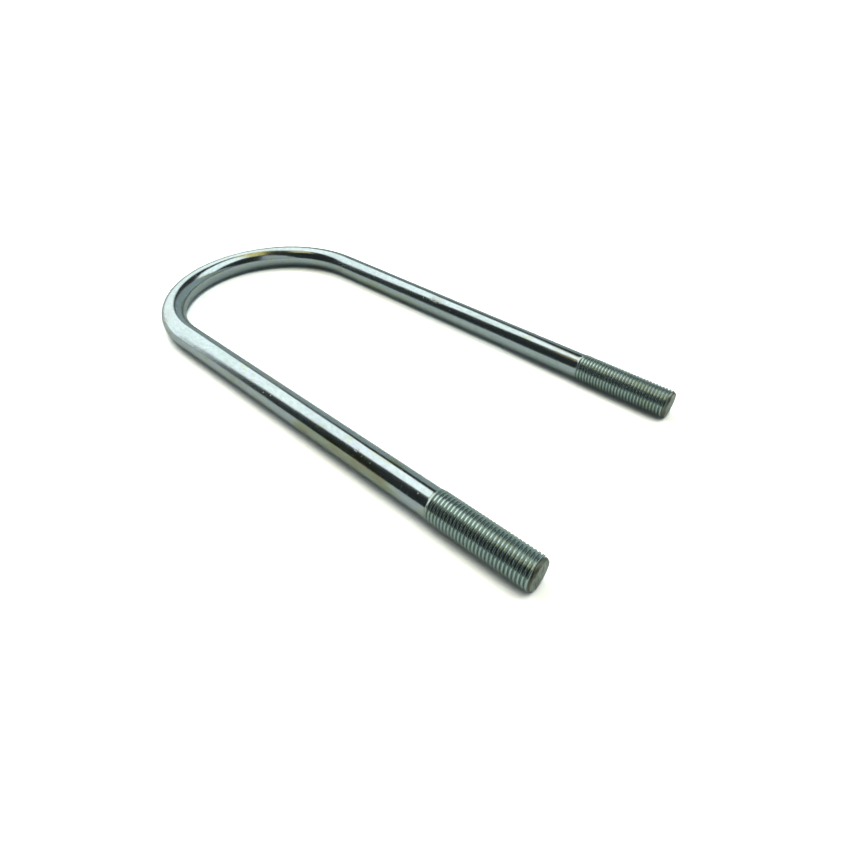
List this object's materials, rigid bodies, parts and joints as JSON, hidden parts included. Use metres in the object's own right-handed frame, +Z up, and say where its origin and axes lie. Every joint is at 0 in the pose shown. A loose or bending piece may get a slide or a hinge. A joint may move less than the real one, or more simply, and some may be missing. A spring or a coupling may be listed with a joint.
{
  "type": "u-bolt",
  "caption": "Long zinc-plated round U-bolt with a half-round bend and fine-threaded leg ends, for clamping a tube or axle to a plate or spring.",
  "frame": {"origin": "under the middle of the bolt as it lies on its side: the centre of its box in X and Y, at the lowest line of the threads", "axes": "+X along the legs towards the threaded ends, +Y across the legs, +Z up, square to the plane of the U"},
  "size_m": [0.1938, 0.0882, 0.0093],
  "materials": {
    "zinc": "bright zinc plating on steel, nearly mirror-like, with a faint blue-green and yellow tint"
  },
  "bodies": {
    "root": {"u_bolt": "zinc"}
  },
  "joints": []
}
